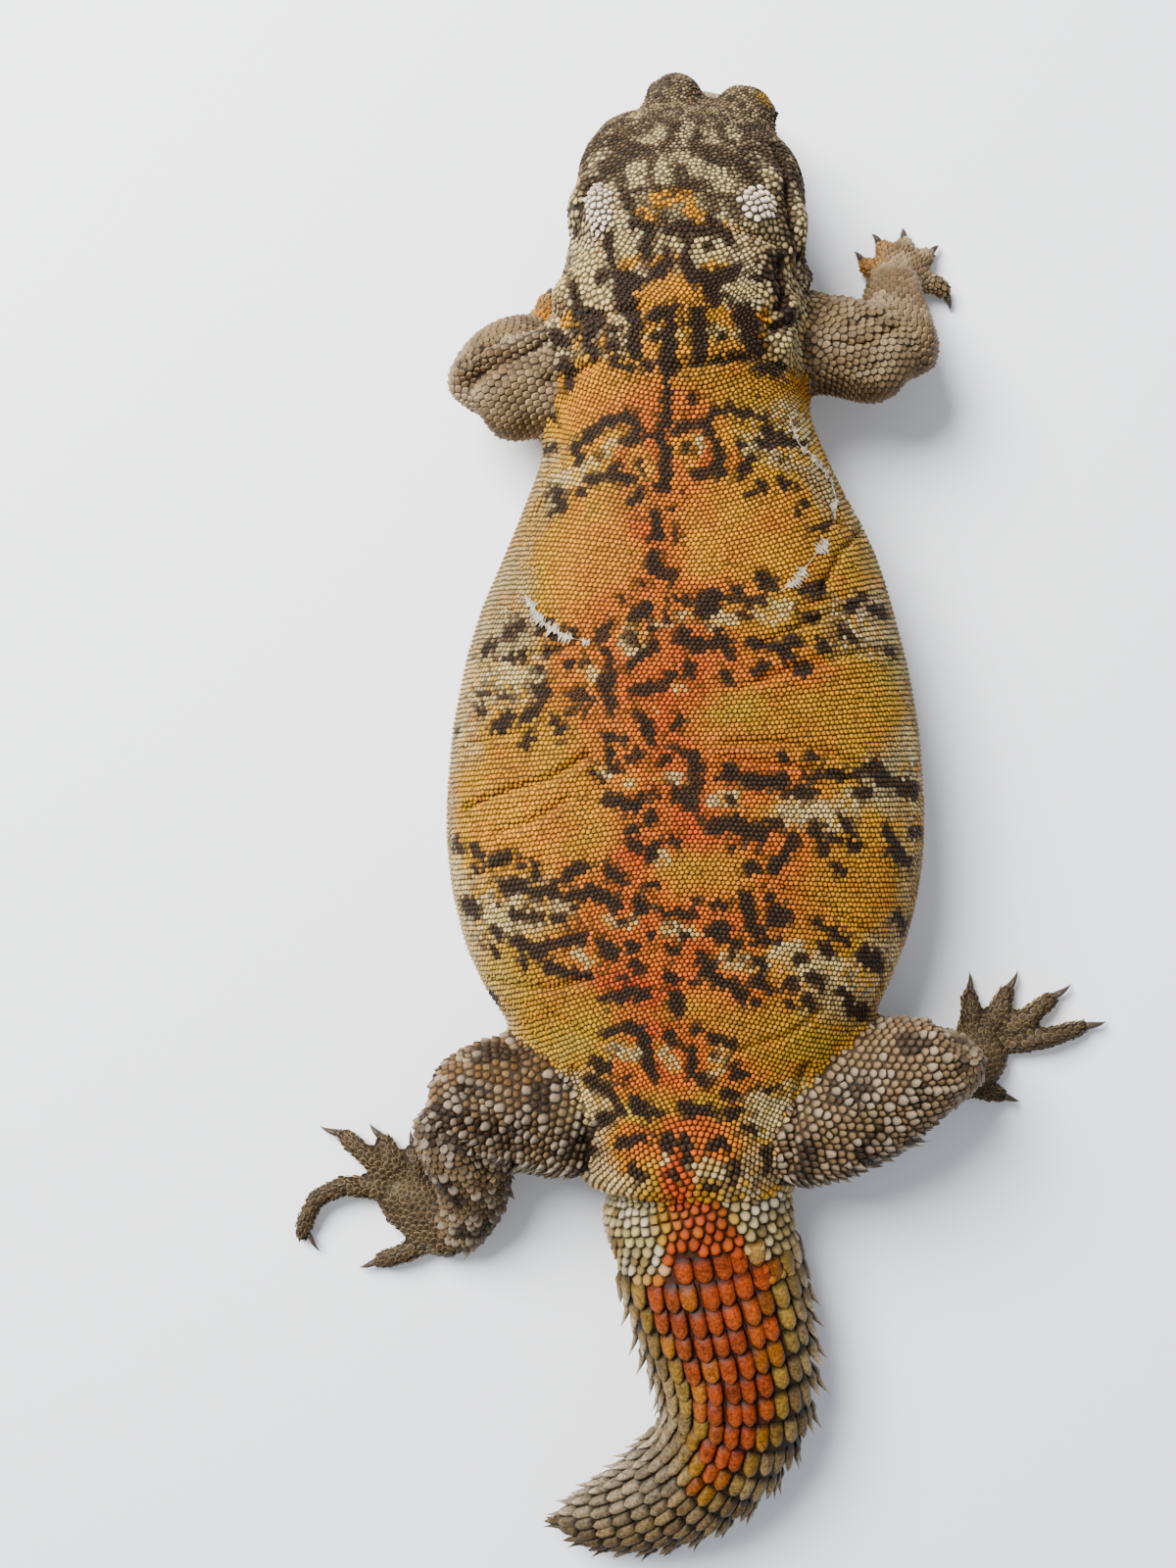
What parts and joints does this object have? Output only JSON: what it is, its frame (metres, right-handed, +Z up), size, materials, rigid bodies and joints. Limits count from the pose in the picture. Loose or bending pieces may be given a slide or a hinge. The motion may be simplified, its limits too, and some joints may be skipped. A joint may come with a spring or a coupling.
{
  "type": "uromastyx",
  "caption": "Still life-size model of a stout spiny-tailed lizard lying belly down, head bowed, legs spread and short tail curled to its left.",
  "frame": {"origin": "on the floor, in the flat of the belly under the middle of the trunk", "axes": "+Z up, head towards -Y, the animal's left side towards +X"},
  "size_m": [0.1112, 0.1973, 0.0292],
  "materials": {
    "back_hide": "fine granular scales, satin, orange and ochre with black and cream marks",
    "head_hide": "fine bead scales, matte grey brown with cream spots",
    "limb_hide": "overlapping scales, matte grey brown",
    "tail_hide": "rings of keeled spiny scales, satin, orange to pale beige",
    "claw": "horn, dark brown, semi gloss",
    "eye": "wet dark brown eye"
  },
  "bodies": {
    "root": {"claw_back_left_1": "claw", "claw_back_left_2": "claw", "claw_back_left_3": "claw", "claw_back_left_4": "claw", "claw_back_left_5": "claw", "claw_back_right_1": "claw", "claw_back_right_2": "claw", "claw_back_right_3": "claw", "claw_back_right_4": "claw", "claw_back_right_5": "claw", "claw_front_left_1": "claw", "claw_front_left_2": "claw", "claw_front_left_3": "claw", "claw_front_left_4": "claw", "claw_front_left_5": "claw", "claw_front_right_1": "claw", "claw_front_right_2": "claw", "claw_front_right_3": "claw", "claw_front_right_4": "claw", "claw_front_right_5": "claw", "eye_left": "eye", "eye_right": "eye", "foot_back_left": "limb_hide", "foot_back_right": "limb_hide", "forearm_front_left": "limb_hide", "forearm_front_right": "limb_hide", "hand_front_left": "limb_hide", "hand_front_right": "limb_hide", "head": "head_hide", "jaw": "head_hide", "neck": "back_hide", "shank_back_left": "limb_hide", "shank_back_right": "limb_hide", "tail_base": "tail_hide", "tail_middle": "tail_hide", "tail_tip": "tail_hide", "thigh_back_left": "limb_hide", "thigh_back_right": "limb_hide", "trunk": "back_hide", "upper_arm_front_left": "limb_hide", "upper_arm_front_right": "limb_hide"}
  },
  "joints": []
}
